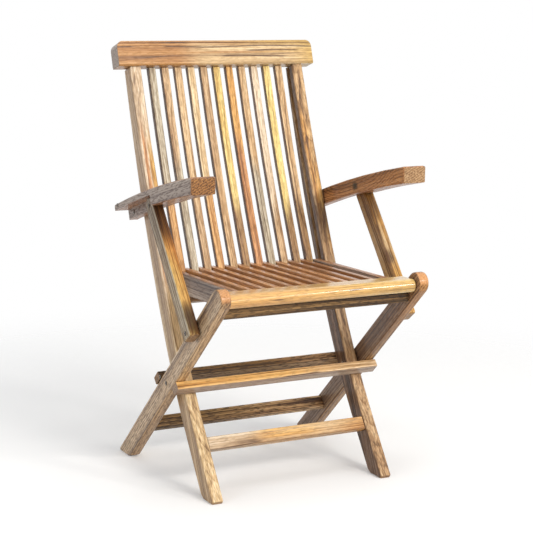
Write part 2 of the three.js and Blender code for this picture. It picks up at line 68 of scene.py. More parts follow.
# %% A wire that can be added and multiplied
class Wire:
    """A socket that can be added, multiplied and compared like a number."""

    def __init__(self, graph, socket):
        self.graph = graph
        self.socket = socket

    def maths(self, operation, *values):
        return self.graph.node("ShaderNodeMath", {"operation": operation}, dict(enumerate(values)))

    def __add__(self, other):
        return self.maths("ADD", self, other)

    def __sub__(self, other):
        return self.maths("SUBTRACT", self, other)

    def __rsub__(self, other):
        return self.maths("SUBTRACT", other, self)

    def __mul__(self, other):
        return self.maths("MULTIPLY", self, other)

    def __truediv__(self, other):
        return self.maths("DIVIDE", self, other)

    def __pow__(self, other):
        return self.maths("POWER", self, other)

    def __abs__(self):
        return self.maths("ABSOLUTE", self)

    __radd__ = __add__
    __rmul__ = __mul__

    def fract(self):
        return self.maths("FRACT", self)

    def larger(self, other):
        return self.maths("MAXIMUM", self, other)

    def clipped(self):
        """The same value, but never below 0 or above 1."""
        return self.maths("MINIMUM", self.larger(0.0), 1.0)

    def rise(self, low, high):
        """0 below low, 1 above high and a smooth step between them."""
        settings = {"interpolation_type": "SMOOTHSTEP"}
        values = {"Value": self, "From Min": low, "From Max": high}
        return self.graph.node("ShaderNodeMapRange", settings, values)


print("beside sums, a wire can:", [name for name in vars(Wire) if not name.startswith("_")])

# %% [markdown]
# ## Any other node
#
# Noise, colour ramps and the rest come from one method. It takes the node's type, its settings and
# the value or the link of each socket. The world has a node tree too, so the method belongs to a
# tree, and a finish is a tree that also knows its material and its shader.

# %% A node tree and a finish
def set_stops(ramp, stops):
    """Give a colour ramp these stops, each a place and a colour, in place of its own two."""
    while len(ramp.elements) > 1:
        ramp.elements.remove(ramp.elements[-1])
    for index, (place, colour) in enumerate(stops):
        element = ramp.elements[0] if index == 0 else ramp.elements.new(place)
        element.position = place
        element.color = colour


class Graph:
    """A node tree with one method that adds any node."""

    def __init__(self, tree):
        self.tree = tree

    def node(self, kind, settings=None, values=None, output=0):
        made = self.tree.nodes.new(kind)
        for name, value in (settings or {}).items():
            if name == "stops":
                set_stops(made.color_ramp, value)
            else:
                setattr(made, name, value)
        for name, value in (values or {}).items():
            self.plug(made.inputs[name], value)
        return Wire(self, made.outputs[output])

    def plug(self, socket, value):
        if isinstance(value, Wire):
            self.tree.links.new(value.socket, socket)
        else:
            socket.default_value = value

    def mix(self, first, second, factor):
        """The first colour where the factor is 0 and the second where it is 1."""
        return self.node("ShaderNodeMix", {"data_type": "RGBA"}, {0: factor, 6: first, 7: second}, output=2)

    def vector(self, operation, *values, output="Vector"):
        return self.node("ShaderNodeVectorMath", {"operation": operation}, dict(enumerate(values)), output)

    def coordinate(self, kind):
        return self.node("ShaderNodeTexCoord", output=kind)

    def studio_rays(self):
        """1 for the rays that show the white studio: straight, mirrored and refracted ones."""
        straight, mirrored, refracted = (self.node("ShaderNodeLightPath", output=f"Is {kind} Ray")
                                         for kind in ("Camera", "Glossy", "Transmission"))
        return straight.larger(mirrored).larger(refracted)


class Finish(Graph):
    """A material and its shader."""

    def __init__(self, name):
        self.material = bpy.data.materials.new(name)
        self.material.use_nodes = True
        super().__init__(self.material.node_tree)
        self.shader = self.tree.nodes["Principled BSDF"]

    def set(self, **sockets):
        for name, value in sockets.items():
            self.plug(self.shader.inputs[name.replace("_", " ")], value)


print("a finish can:", [name for name in (*vars(Graph), *vars(Finish)) if not name.startswith("_")])

# %% [markdown]
# ## Colours from a paint chart
#
# Blender calculates with the amount of light, and a paint chart gives values that are spaced for the
# eye. A colour picker would do for one colour. There are more than fifty here, so a function
# changes one kind into the other.

# %% Paint
def linear(value):
    """The amount of light, from 0 to 1, that a chart value from 0 to 255 stands for."""
    share = value / 255
    return share / 12.92 if share <= 0.04045 else ((share + 0.055) / 1.055) ** 2.4


def paint(red, green, blue):
    """An opaque colour in linear light, from the three values of a paint chart."""
    return (linear(red), linear(green), linear(blue), 1.0)


print("a mid teak in linear light:", [round(v, 3) for v in paint(200, 160, 112)])

# %% [markdown]
# ## Where the grain runs
#
# Grain runs along a board, whatever way the board leans. The directions could be typed in for each
# board, but its points already tell them: a board is longest along its grain. The rails run across
# the chair, and every other board lies in a plane that runs from front to back.

# %% The long way of a board
ACROSS_CHAIR = Vector((1, 0, 0))


def longest_way(node):
    """The direction in which a board is longest and its middle, from the spread of its points."""
    points = [vertex.co for vertex in nodes[node].data.vertices]
    middle = sum(points, Vector()) / len(points)
    low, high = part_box(node)
    if high[0] - low[0] > max(high[1] - low[1], high[2] - low[2]):
        return ACROSS_CHAIR.copy(), middle
    spread_y = sum((p.y - middle.y) ** 2 for p in points)
    spread_z = sum((p.z - middle.z) ** 2 for p in points)
    shared = sum((p.y - middle.y) * (p.z - middle.z) for p in points)
    lean = 0.5 * math.atan2(2 * shared, spread_y - spread_z)
    return Vector((0, math.cos(lean), math.sin(lean))), middle


for name in ("top_rail", "stile_left", "rear_leg_left", "arm_left"):
    way, _ = longest_way(name)
    print(name, "runs along", [round(v, 2) for v in way])

# %% [markdown]
# ## Tones of teak
#
# Oiled teak is golden brown, but boards from one stack differ from straw yellow to grey brown. A
# single colour made lighter and darker would look painted, because the pale wood of a board is also
# yellower and its lines are redder. So a tone is three colours: pale wood, common wood, dark lines.

# %% Each tone as its pale wood, its common wood and its dark lines
TONES = {
    "honey": (paint(226, 186, 112), paint(188, 136, 66), paint(84, 52, 22)),
    "gold": (paint(220, 172, 112), paint(174, 120, 64), paint(78, 46, 22)),
    "straw": (paint(238, 212, 140), paint(206, 166, 90), paint(104, 72, 34)),
    "cream": (paint(240, 218, 178), paint(212, 178, 130), paint(112, 80, 50)),
    "pale": (paint(232, 212, 184), paint(198, 168, 134), paint(100, 74, 54)),
    "tan": (paint(212, 178, 136), paint(166, 128, 88), paint(72, 48, 32)),
    "wheat": (paint(224, 192, 148), paint(190, 150, 104), paint(88, 60, 38)),
    "rose": (paint(204, 154, 112), paint(154, 106, 72), paint(64, 38, 28)),
    "ash": (paint(210, 198, 174), paint(162, 144, 118), paint(76, 62, 48)),
    "grey": (paint(182, 164, 148), paint(144, 126, 114), paint(72, 58, 52)),
    "lemon": (paint(246, 224, 152), paint(226, 194, 118), paint(124, 90, 46)),
    "amber": (paint(236, 190, 118), paint(206, 150, 80), paint(98, 60, 28)),
    "copper": (paint(214, 156, 102), paint(170, 114, 68), paint(72, 42, 24)),
    "rust": (paint(224, 152, 78), paint(190, 122, 54), paint(84, 46, 16)),
    "olive": (paint(164, 130, 82), paint(116, 86, 50), paint(44, 30, 18)),
    "brown": (paint(176, 138, 92), paint(130, 94, 60), paint(50, 34, 22)),
    "umber": (paint(112, 68, 40), paint(72, 42, 26), paint(30, 19, 14)),
}
COMMON_WOOD = 0.45


def tone_of(finish, tone, dark):
    """A tone's colour, from its pale wood where dark is 0 to its lines where dark is 1."""
    pale_wood, common_wood, dark_line = TONES[tone]
    stops = [(0.0, pale_wood), (COMMON_WOOD, common_wood), (1.0, dark_line)]
    return finish.node("ShaderNodeValToRGB", {"stops": stops}, {0: dark})


print("tones of teak:", ", ".join(sorted(TONES)))

# %% [markdown]
# ## A place in a board
#
# Every mark needs a place that is measured along the grain, across it and through the board. With
# texture coordinates alone the marks would run up and down in a slanting leg. So a plank is a
# finish with its own three directions, and its noises are stretched along the first one. Where the
# board is sawn off, that gives dots instead of streaks, as in real end grain.

# %% A plank
SEED_STEP = 7.3
NOISE_LOW, NOISE_HIGH = 0.25, 0.75


class Plank(Finish):
    """The finish of one board, with places in it measured in metres from its middle."""

    def __init__(self, node, seed):
        super().__init__(f"teak_{node}")
        self.seed = seed
        self.grain, self.middle = longest_way(node)
        self.is_rail = self.grain.x > 0.5
        self.wide = Vector((0, 0, 1)) if self.is_rail else ACROSS_CHAIR
        self.deep = self.grain.cross(self.wide)
        place = self.vector("SUBTRACT", self.coordinate("Object"), self.middle)
        self.along, self.across, self.through = (
            self.vector("DOT_PRODUCT", place, way, output="Value") for way in (self.grain, self.wide, self.deep))
        self.normal = self.coordinate("Normal")

    def noise(self, stretch, fine, detail, offset):
        """Noise from 0 to 1 with this many grains a metre along and across the board."""
        values = {"X": self.along * stretch + (self.seed * SEED_STEP + offset), "Y": self.across * fine,
                  "Z": self.through * fine}
        point = self.node("ShaderNodeCombineXYZ", {}, values)
        values = {"Vector": point, "Scale": 1.0, "Detail": detail}
        return self.node("ShaderNodeTexNoise", {}, values).rise(NOISE_LOW, NOISE_HIGH)

    def nearness(self, at, reach, stretch):
        """1 at a point of the chair and 0 beyond its reach, which is longer along the grain."""
        away = Vector(at) - self.middle
        gap = ((self.along - away.dot(self.grain)) / stretch) ** 2 + (self.across - away.dot(self.wide)) ** 2
        return 1 - (gap + (self.through - away.dot(self.deep)) ** 2).rise(0, reach ** 2)

    def stretch_of(self, start, stop, soft):
        """1 between two places along the board, with soft ends."""
        return self.along.rise(start, start + soft) * (1 - self.along.rise(stop - soft, stop))

    def facing(self, way):
        """1 where the surface looks along a direction or against it, and 0 where it looks aside."""
        return abs(self.vector("DOT_PRODUCT", self.normal, way, output="Value"))


print("two seeds lie", SEED_STEP, "apart in the noise")

# %% [markdown]
# ## Growth lines and knots
#
# The lines in a board are the yearly rings of the tree, which the saw has cut lengthwise. Drawn as
# stripes they look printed. Drawn as rings round a heart that lies outside the board, they cross it
# in long curves. A slow and a quick noise bend them, a knot pushes them aside, and a third noise
# breaks them up.

# %% The rings round the heart of the tree
# Each noise of a board: grains a metre along and across it, detail, and an offset that keeps it apart
SLOW_BEND, SLOW_BEND_SIZE = (1.1, 9.0, 2.0, 0.0), 0.012
QUICK_BEND, QUICK_BEND_SIZE = (6.0, 50.0, 1.0, 3.1), 0.001
BREAKS, LEAST_LINE = (1.8, 60.0, 2.0, 57.0), 0.35
LINE_SHARPNESS, LINE_END = 4.0, 0.9
KNOT_REACH, KNOT_STRETCH, KNOT_PUSH = 5, 3.0, 2.5


def growth_lines(plank, heart, spacing, knots):
    """The dark line of each ring, for a heart this far across and through, and drifting along."""
    across, through, drift = heart
    bend = plank.noise(*SLOW_BEND) * SLOW_BEND_SIZE + plank.noise(*QUICK_BEND) * QUICK_BEND_SIZE
    for at, size in knots:
        bend = bend + plank.nearness(at, size * KNOT_REACH, KNOT_STRETCH) * (size * KNOT_PUSH)
    radius = (plank.across - across - plank.along * drift) ** 2 + (plank.through - through) ** 2
    ring = ((radius ** 0.5 + bend) / spacing).fract()
    return ring ** LINE_SHARPNESS * (1 - ring.rise(LINE_END, 1.0)) * (LEAST_LINE + plank.noise(*BREAKS))


print("lines bend by up to", SLOW_BEND_SIZE * 1000, "mm, slowly, and by", QUICK_BEND_SIZE * 1000, "mm, quickly")

# %% [markdown]
# ## Tones that change in a board
#
# A board is seldom one tone from end to end: it often fades into another, or carries a paler or
# redder streak. Mixing finished colours would blur the lines, so each tone is looked up with the
# same darkness, and the lines run on unbroken from one into the other.

# %% Fades and streaks
FADE_SWAY = 0.12
STREAK_SOFT_END = 0.08
STREAK_CORE = 0.3


def wood(plank, tone, dark, fade, streaks):
    """The colour of the wood; a fade and a streak give their second tone and their places."""
    colour = tone_of(plank, tone, dark)
    if fade:
        second, start, stop = fade
        share = (plank.along + (plank.cloud - 0.5) * FADE_SWAY).rise(start, stop)
        colour = plank.mix(colour, tone_of(plank, second, dark), share)
    for across_at, second, width, start, stop in streaks:
        gap = abs(plank.across - across_at + (plank.band - 0.5) * width + (plank.cloud - 0.5) * width * 2)
        share = (1 - gap.rise(width * STREAK_CORE, width)) * plank.stretch_of(start, stop, STREAK_SOFT_END)
        colour = plank.mix(colour, tone_of(plank, second, dark), share)
    return colour


print("a fade sways by up to", FADE_SWAY / 2 * 1000, "mm")

# %% [markdown]
# ## Painted shade on side faces and undersides
#
# The side faces of the boards get a greyer or darker tone than the broad ones, and the underside of a
# rail gets grey: both are painted shade, as those faces lie in shade. A second material for those
# faces would need a seam. The direction in which the surface looks tells them apart and blends them
# at the rounded edges.

# %% Painted shade on sides and undersides
SIDE_FROM, SIDE_TO = 0.6, 0.95
UNDER_FROM, UNDER_TO = 0.1, 0.5


def painted_side_and_under_shade(plank, colour, dark, side, under):
    """The colour with painted shade: another tone on the faces to the left and right, grey on those below."""
    if side and not plank.is_rail:
        tone, share = side
        sideways = plank.facing(ACROSS_CHAIR).rise(SIDE_FROM, SIDE_TO)
        colour = plank.mix(colour, tone_of(plank, tone, dark), sideways * share)
    if under:
        upward = plank.node("ShaderNodeSeparateXYZ", {}, {0: plank.normal}, output="Z")
        downward = (0 - upward).rise(UNDER_FROM, UNDER_TO)
        colour = plank.mix(colour, tone_of(plank, "grey", dark), downward * under)
    return colour


print("a face is fully a side within", round(math.degrees(math.acos(SIDE_TO))), "degrees")

# %% [markdown]
# ## Dark patches and painted shade, cracks and the eyes of knots
#
# Some boards carry dark patches, and those on the posts just below the arms are painted shade of the
# arms. Some have drying cracks, and three have a knot. They could be painted on an image, but an image
# has its own size of dots. As patterns they stay sharp from close by, and each is a place and a size in the board.

# %% Dark patches and painted shade
PATCH_BASE, PATCH_FIBRE = 0.6, 0.5


def dark_patches_and_shade(plank, colour, stains):
    """The colour with dark patches, each a point, a reach, a stretch and a strength; those below the arms are
    painted shade.
    """
    for at, reach, stretch, strength in stains:
        # A near-black umber for the dark patches and for the painted shade below the arms
        patch_colour = plank.mix(TONES["umber"][2], TONES["umber"][0], plank.fibre * plank.band)
        share = plank.nearness(at, reach, stretch) * (PATCH_BASE + plank.fibre * PATCH_FIBRE) * strength
        colour = plank.mix(colour, patch_colour, share.clipped())
    return colour


print("a stain covers", PATCH_BASE, "to", PATCH_BASE + PATCH_FIBRE, "of the wood, by its fibres")

# %% Cracks and knots
CRACK_WAVE_GRAINS, CRACK_WAVE_DETAIL, CRACK_SEED_STEP = 4.0, 2.0, 900
CRACK_GAPS, CRACK_GAP_FROM, CRACK_GAP_TO = (9.0, 0.0, 1.0, 71.0), 0.0, 0.3
CRACK_HALF, CRACK_SOFT_HALF, CRACK_SOFT_END = 0.0006, 0.0020, 0.02
CRACK_DARKNESS, EYE_DARKNESS, EYE_STRETCH = 0.85, 0.95, 1.3


def cracked(plank, colour, cracks, knots):
    """The colour with cracks, each a height, a sway and two ends, and with the eyes of knots."""
    for height, sway, start, stop in cracks:
        wave = plank.noise(CRACK_WAVE_GRAINS, 0.0, CRACK_WAVE_DETAIL, height * CRACK_SEED_STEP)
        away = abs(plank.across - height - (wave - 0.5) * sway)
        unbroken = plank.noise(*CRACK_GAPS).rise(CRACK_GAP_FROM, CRACK_GAP_TO)
        stroke = (1 - away.rise(CRACK_HALF, CRACK_SOFT_HALF)) * unbroken
        share = stroke * plank.stretch_of(start, stop, CRACK_SOFT_END) * CRACK_DARKNESS
        colour = plank.mix(colour, TONES["umber"][1], share)
    for at, size in knots:
        colour = plank.mix(colour, TONES["umber"][2], plank.nearness(at, size, EYE_STRETCH) * EYE_DARKNESS)
    return colour


print("a crack is", CRACK_HALF * 2000, "mm wide")

# %% [markdown]
# ## End grain
#
# Where a board is sawn off, the growth lines show as slanting strokes between open pores. The
# lengthwise lines would only give dots there, so the ends get strokes of their own.

# %% Sawn ends
END_SPECK = (0.0, 260.0, 3.0, 83.0)
STROKE_SPACING, STROKE_SLANT, STROKE_SWAY = 0.005, 0.5, 0.004
SPECK_WEIGHT = 0.4
END_FROM, END_TO, END_SHARE = 0.6, 0.85, 0.9


def sawn(plank, colour, end):
    """The colour with end grain, given as a tone, its darkness and the weight of its strokes."""
    tone, depth, strokes = end
    speck = plank.noise(*END_SPECK)
    slanting = plank.through + plank.across * STROKE_SLANT + (speck - 0.5) * STROKE_SWAY
    stroke = abs((slanting / STROKE_SPACING).fract() - 0.5)
    dark = (depth - stroke * strokes - speck * SPECK_WEIGHT).clipped()
    share = plank.facing(plank.grain).rise(END_FROM, END_TO) * END_SHARE
    return plank.mix(colour, tone_of(plank, tone, dark), share)


print("strokes of the end grain every", STROKE_SPACING * 1000, "mm")

# %% [markdown]
# ## The finish of one board
#
# All of it comes together here. Fine fibres, wider bands, soft clouds and short dark pores join the
# growth lines in one darkness, and that darkness picks the colours. The same patterns also press
# the surface in a little and dull its gloss, as open grain does under oil. The oil itself is the
# coat.

# %% Teak
FIBRE, FIBRE_WEIGHT = (2.4, 480.0, 2.0, 11.0), 0.5
BAND, BAND_WEIGHT = (0.7, 110.0, 3.0, 23.0), 0.55
CLOUD, CLOUD_WEIGHT = (1.4, 24.0, 3.0, 37.0), 0.4
PORE, PORE_FROM, PORE_TO = (64.0, 400.0, 1.0, 31.0), 0.5, 0.8
RELIEF = {"Strength": 0.6, "Distance": 0.0009}
FIBRE_HEIGHT, BAND_HEIGHT, PORE_HEIGHT, LINE_HEIGHT = 0.5, 0.3, 0.6, 0.3
ROUGHNESS, FIBRE_ROUGHNESS, PORE_ROUGHNESS, OIL_ROUGHNESS = 0.30, 0.14, 0.2, 0.18
WOOD_GLOSS = 0.25


# The side tone and the under share paint shade: another tone on the side faces and grey on the undersides.
def teak(node, tone, seed, rings=0.6, spacing=0.0052, heart=(0.05, 0.09, 0.02), contrast=1.0, depth=0.36,
         pores=0.28, coat=0.3, fade=None, streaks=(), side=("grey", 0.6), under=0, end=("brown", 0.95, 1.1),
         stains=(), cracks=(), knots=()):
    """The finish of one board, from its tone, its grain and its marks."""
    plank = Plank(node, seed)
    line = growth_lines(plank, heart, spacing, knots)
    fibre, band, cloud = (plank.noise(*pattern) for pattern in (FIBRE, BAND, CLOUD))
    pore = plank.noise(*PORE).rise(PORE_FROM, PORE_TO)
    plank.fibre, plank.band, plank.cloud = fibre, band, cloud

    mixed = (line * rings + (fibre - 0.5) * FIBRE_WEIGHT + (band - 0.5) * BAND_WEIGHT
             + (cloud - 0.5) * CLOUD_WEIGHT)
    dark = (mixed * contrast + depth).clipped()
    colour = wood(plank, tone, dark, fade, streaks)
    # Dark patches; those just below the arms are painted shade
    colour = dark_patches_and_shade(plank, colour, stains)
    # Painted shade: another tone on the side faces, grey on the undersides
    colour = painted_side_and_under_shade(plank, colour, dark, side, under)
    colour = plank.mix(colour, TONES[tone][2], pore * pores)
    colour = cracked(plank, colour, cracks, knots)
    colour = sawn(plank, colour, end)

    height = fibre * FIBRE_HEIGHT + band * BAND_HEIGHT - pore * PORE_HEIGHT - line * LINE_HEIGHT
    bump = plank.node("ShaderNodeBump", {}, {**RELIEF, "Height": height})
    dullness = ROUGHNESS + fibre * FIBRE_ROUGHNESS + pore * PORE_ROUGHNESS
    plank.set(Base_Color=colour, Roughness=dullness, Normal=bump,
              Specular_IOR_Level=WOOD_GLOSS, Coat_Weight=coat, Coat_Roughness=OIL_ROUGHNESS)
    return plank.material


print("grains a metre across the board: fibres", FIBRE[1], "bands", BAND[1], "clouds", CLOUD[1])

# %% [markdown]
# ## Boards with soft edges
#
# A planed board has its edges eased with a cutter and sandpaper, and the light runs along them as a
# thin bright line. The frame's boards have that shape in flat facets. They could be modelled anew,
# but then they might miss the real size. So a copy of each is cleaned, shaded smooth where faces
# meet gently, and given a tiny bevel where they still meet sharply.

# %% One way to dress every board
EASE = 0.0009
SAME_POINT = 0.00002
FLAT_WITHIN = math.radians(0.8)
SHARP_FROM = math.radians(38)
EASED_FROM = math.radians(50)


def smooth_copy(node):
    """A copy of a board's mesh, without spare points and with smooth shading."""
    form = bmesh.new()
    form.from_mesh(nodes[node].data)
    bmesh.ops.remove_doubles(form, verts=form.verts, dist=SAME_POINT)
    bmesh.ops.dissolve_limit(form, angle_limit=FLAT_WITHIN, verts=form.verts, edges=form.edges)
    for face in form.faces:
        face.smooth = True
    mesh = bpy.data.meshes.new(f"{node}_wood")
    form.to_mesh(mesh)
    form.free()
    mesh.set_sharp_from_angle(angle=SHARP_FROM)
    return mesh


def board(node, tone, seed, **look):
    """A board of the frame with eased edges and a teak finish, in place of the plain solid."""
    mesh = smooth_copy(node)
    mesh.materials.append(teak(node, tone, seed, **look))
    piece = bpy.data.objects.new(f"{node}_wood", mesh)
    bpy.context.scene.collection.objects.link(piece)
    bevel = piece.modifiers.new("eased edges", "BEVEL")
    bevel.width = EASE
    bevel.segments = 2
    bevel.limit_method = "ANGLE"
    bevel.angle_limit = EASED_FROM
    even = piece.modifiers.new("flat faces", "WEIGHTED_NORMAL")
    even.keep_sharp = True
    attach(piece, body_of_node[node])
    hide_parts(node)
    return piece


print("edges are eased by", EASE * 1000, "mm")

# %% [markdown]
# ## The back frame
#
# Two stiles run from the floor to the top rail. The left one is pale with a few warm streaks, and
# the right one has a flame of honey in darker wood. The wide top rail fades from gold to straw and
# has long drying cracks. Each look is a tone and a few marks, so all boards share one finish.

# %% Stiles
STILE_STREAKS = [(0.003, "cream", 0.014, -0.42, 0.02), (0.005, "honey", 0.006, -0.04, 0.26),
                 (-0.006, "copper", 0.0045, -0.1, 0.3)]
FLAME = [(0.0, "amber", 0.008, 0.02, 0.33), (0.008, "honey", 0.005, -0.05, 0.2)]
# The side tones of the stiles, tan and umber, are painted shade on their side faces.
stiles = [
    board("stile_left", "cream", 1, rings=0.45, depth=0.35, fade=("pale", -0.2, -0.02), streaks=STILE_STREAKS,
          side=("tan", 0.7), coat=0.4),
    board("stile_right", "tan", 2, rings=0.5, spacing=0.008, heart=(0.02, 0.05, 0.01), depth=0.37, pores=0.45,
          fade=("wheat", 0.0, 0.12), streaks=FLAME, side=("umber", 0.75), knots=[((0.2, 0.167, 0.678), 0.004)],
          stains=[((0.19, 0.075, 0.5), 0.045, 1.6, 1.0)])]
print("stiles:", len(stiles))

# %% Rails of the back
CRACKS = [(0.006, 0.004, -0.24, 0.24), (-0.012, 0.006, -0.20, -0.13), (0.014, 0.004, -0.15, -0.06),
          (-0.015, 0.006, 0.0, 0.17), (-0.002, 0.006, 0.06, 0.2)]
back_rails = [
    # The top rail's cream streak across the middle is a painted highlight. Its sawn ends are dark as end grain is,
    # and grey as painted shade.
    board("top_rail", "gold", 3, heart=(0.0, 0.05, 0.01), contrast=0.75, depth=0.38, pores=0.2, coat=0.6,
          streaks=[(0.0, "cream", 0.08, -0.1, 0.24)], fade=("straw", 0.0, 0.2), cracks=CRACKS,
          end=("grey", 1.0, 1.1)),
    board("lower_back_rail", "brown", 4),
    board("front_stretcher", "pale", 5, depth=0.14, fade=("wheat", -0.12, 0.02),
          streaks=[(0.0, "amber", 0.05, -0.1, 0.1), (0.0, "gold", 0.05, 0.08, 0.3)])]
print("rails of the back frame:", len(back_rails))

# %% [markdown]
# ## The back slats
#
# Slats are sawn from offcuts of many boards, so neighbours differ a lot, and most change their tone
# near the middle. Tones drawn at random would do for a stack of chairs. This chair has its own row,
# so each slat is given its tone at the foot and at the head, its darkness and where it changes.

# %% Eleven slats
CHANGE_LENGTH = 0.07
SLATS = [("gold", "ash", 0.34, -0.08), ("ash", "tan", 0.29, -0.04), ("tan", "wheat", 0.30, -0.06),
         ("gold", "cream", 0.26, -0.06), ("wheat", "tan", 0.32, -0.02), ("brown", "straw", 0.14, -0.10),
         ("copper", "amber", 0.34, 0.02), ("ash", "wheat", 0.20, -0.02), ("tan", "pale", 0.19, -0.08),
         ("brown", "lemon", 0.12, -0.11), ("brown", "wheat", 0.12, -0.10)]
# The dark umber of the slats' side faces is painted shade between the slats.
for index, (foot, head, depth, change) in enumerate(SLATS):
    board(f"back_slat_{index + 1}", foot, 20 + index, depth=depth, fade=(head, change, change + CHANGE_LENGTH),
          side=("umber", 0.85))
print("back slats:", len(SLATS))

# %% [markdown]
# ## The rear frame
#
# The rear legs cross the stiles and carry the front of the seat on their round upper ends, which
# are smooth and coppery. Two stop rails lie across them. The front one is oiled and bright, and the
# rear one and the stretcher are dull and dark, as they lie in the shade and get no oil.

# %% Rear legs
# The side tones of the rear legs, pale and grey, are painted shading of their side faces.
rear_legs = [
    board("rear_leg_left", "tan", 6, depth=0.42, pores=0.5, coat=0.4, fade=("wheat", -0.15, 0.1),
          side=("pale", 0.45), end=("copper", 0.42, 0.3), knots=[((-0.224, -0.2257, 0.3516), 0.0032)]),
    board("rear_leg_right", "gold", 7, depth=0.45, fade=("brown", -0.15, 0.05), side=("grey", 0.35),
          end=("copper", 0.35, 0.3))]
print("rear legs:", len(rear_legs))

# %% Rails of the rear frame
rear_rails = [
    # Its grey underside is painted shade.
    board("front_stop_rail", "amber", 8, contrast=1.4, coat=0.6, fade=("wheat", -0.02, 0.16), under=0.8,
          cracks=[(0.003, 0.004, 0.0, 0.1)]),
    board("rear_stop_rail", "olive", 9, rings=0.9, contrast=1.3, depth=0.4, pores=0.7, coat=0.1,
          fade=("tan", 0.0, 0.15)),
    board("rear_stretcher", "olive", 10, rings=0.9, contrast=1.3, pores=0.7, coat=0.1,
          fade=("wheat", -0.1, 0.15))]
print("rails of the rear frame:", len(rear_rails))

# %% [markdown]
# ## The seat
#
# The front rail has a full round nose that catches the light from end to end, so it has the
# strongest coat. The slats behind it are redder than those of the back and more worn, and they
# vary little, so two tones are enough.

# %% Seat rails
seat_rails = [
    board("seat_front_rail", "amber", 11, rings=0.5, contrast=0.8, depth=0.25, coat=1.0,
          fade=("straw", -0.2, 0.35), cracks=[(-0.004, 0.004, -0.12, -0.08), (0.002, 0.004, 0.04, 0.09)]),
    # The apron's dark olive tone is painted shade under the round nose of the front rail.
    board("seat_apron", "olive", 12, rings=0.9, contrast=1.3, pores=0.6, coat=0.1),
    board("seat_cross_rail", "brown", 13),
    # The grey of the side rails' outer faces is painted shade.
    board("seat_side_rail_left", "rose", 14, side=("grey", 0.9)),
    board("seat_side_rail_right", "rose", 15, side=("grey", 0.9))]
print("seat rails:", len(seat_rails))

# %% Seat slats
SEAT_TONES = ["copper", "rose", "copper", "rose", "copper", "copper", "rose", "copper", "rose", "copper"]
# The copper of the slats' side faces is painted shade between the slats.
for index, tone in enumerate(SEAT_TONES):
    board(f"seat_slat_{index + 1}", tone, 40 + index, rings=0.4, depth=0.3, side=("copper", 0.6), coat=0.5)
print("seat slats:", len(SEAT_TONES))

# %% [markdown]
# ## Arms and posts
#
# Each arm is one curved board. Its front end shows diagonal end grain, and the right one has a knot.
# The posts slant from the arms down to the rear legs. The left one is rust red above and honey
# below, with a dark patch at each end, and the right one has two dark patches. On both posts the patch
# just below the arm is painted shade of the arm. The pattern's places are measured in the chair, so a
# patch sits where the photograph has it, however the board leans.

# %% Arms
arms = [
    # The grey of the left arm's outer side is painted shade.
    board("arm_left", "rose", 16, rings=0.1, pores=0.5, contrast=0.7, side=("grey", 0.95), end=("gold", 1.2, 1.1)),
    board("arm_right", "copper", 17, depth=0.42, side=None, end=("tan", 0.95, 1.1),
          knots=[((0.202, -0.012, 0.569), 0.011)])]
print("arms:", len(arms))

# %% Posts
# The side tones of the posts are painted shade on their side faces, and their patches just below the arms are
# painted shade of the arms.
posts = [
    board("post_left", "honey", 18, contrast=1.2, depth=0.42, fade=("rust", -0.08, 0.02), side=("ash", 0.85),
          coat=0.1, stains=[((-0.237, -0.165, 0.36), 0.034, 1.4, 1.0), ((-0.237, -0.02, 0.53), 0.055, 1.5, 1.1)]),
    board("post_right", "honey", 19, side=("tan", 0.5), streaks=[(0.0, "cream", 0.03, -0.08, 0.08)],
          stains=[((0.237, -0.02, 0.52), 0.03, 1.6, 0.8), ((0.23, -0.105, 0.437), 0.016, 1.5, 0.9)])]
print("posts:", len(posts))

# %% [markdown]
# ## Screws, bolts and pins
#
# The fasteners are steel that the weather has dulled. Only their low heads show, each as a pale rim
# round a dark recess, and that dark is painted shade of the recess and of the head's edge. At this size
# a modelled recess would be a few dots wide, so it is drawn by the distance from the middle of each fastener's own
# box.

# %% Dull steel
STEEL_CLOUD = {"Scale": 420.0, "Detail": 3.0}
CLEAN_STEEL, WORN_STEEL, RECESS_SHADE = paint(176, 164, 150), paint(104, 92, 82), paint(26, 21, 18)
METAL, METAL_LOST_IN_RECESS_SHADE = 0.6, 0.5
STEEL_ROUGHNESS, CLOUD_ROUGHNESS = 0.34, 0.3
RECESS_FROM, RECESS_TO = 0.38, 0.5
OUTER_EDGE_FROM, OUTER_EDGE_TO = 0.72, 0.86


def dull_steel():
    finish = Finish("dull_steel")
    cloud = finish.node("ShaderNodeTexNoise", {}, {"Vector": finish.coordinate("Object"), **STEEL_CLOUD})
    centred = finish.vector("SUBTRACT", finish.coordinate("Generated"), (0.5, 0.5, 0.5))
    flat = finish.vector("MULTIPLY", centred, (0.0, 2.0, 2.0))
    radius = finish.vector("LENGTH", flat, output="Value")
    rim = radius.rise(RECESS_FROM, RECESS_TO) * (1 - radius.rise(OUTER_EDGE_FROM, OUTER_EDGE_TO))
    # The recess and the head's outer edge are painted near-black as shade
    recess_shade = 1 - rim
    bare = finish.mix(CLEAN_STEEL, WORN_STEEL, cloud.rise(0.35, 0.65))
    finish.set(Base_Color=finish.mix(bare, RECESS_SHADE, recess_shade), Metallic=METAL - recess_shade * METAL_LOST_IN_RECESS_SHADE,
               Roughness=STEEL_ROUGHNESS + cloud * CLOUD_ROUGHNESS)
    return finish.material


steel = dull_steel()
fasteners = [name for name, kind in slot_of_node.items() if kind == "screw_steel"]
for name in fasteners:
    nodes[name].data.materials.clear()
    nodes[name].data.materials.append(steel)
print("fasteners:", len(fasteners))

# %% [markdown]
# ## Loose screw heads
#
# Four more screw heads show than the frame has: at the tails of the arms and in the ends of the
# rear stop rail. They hold nothing that moves, so each is a low turned shape: a short outline that
# is spun round its own axis.

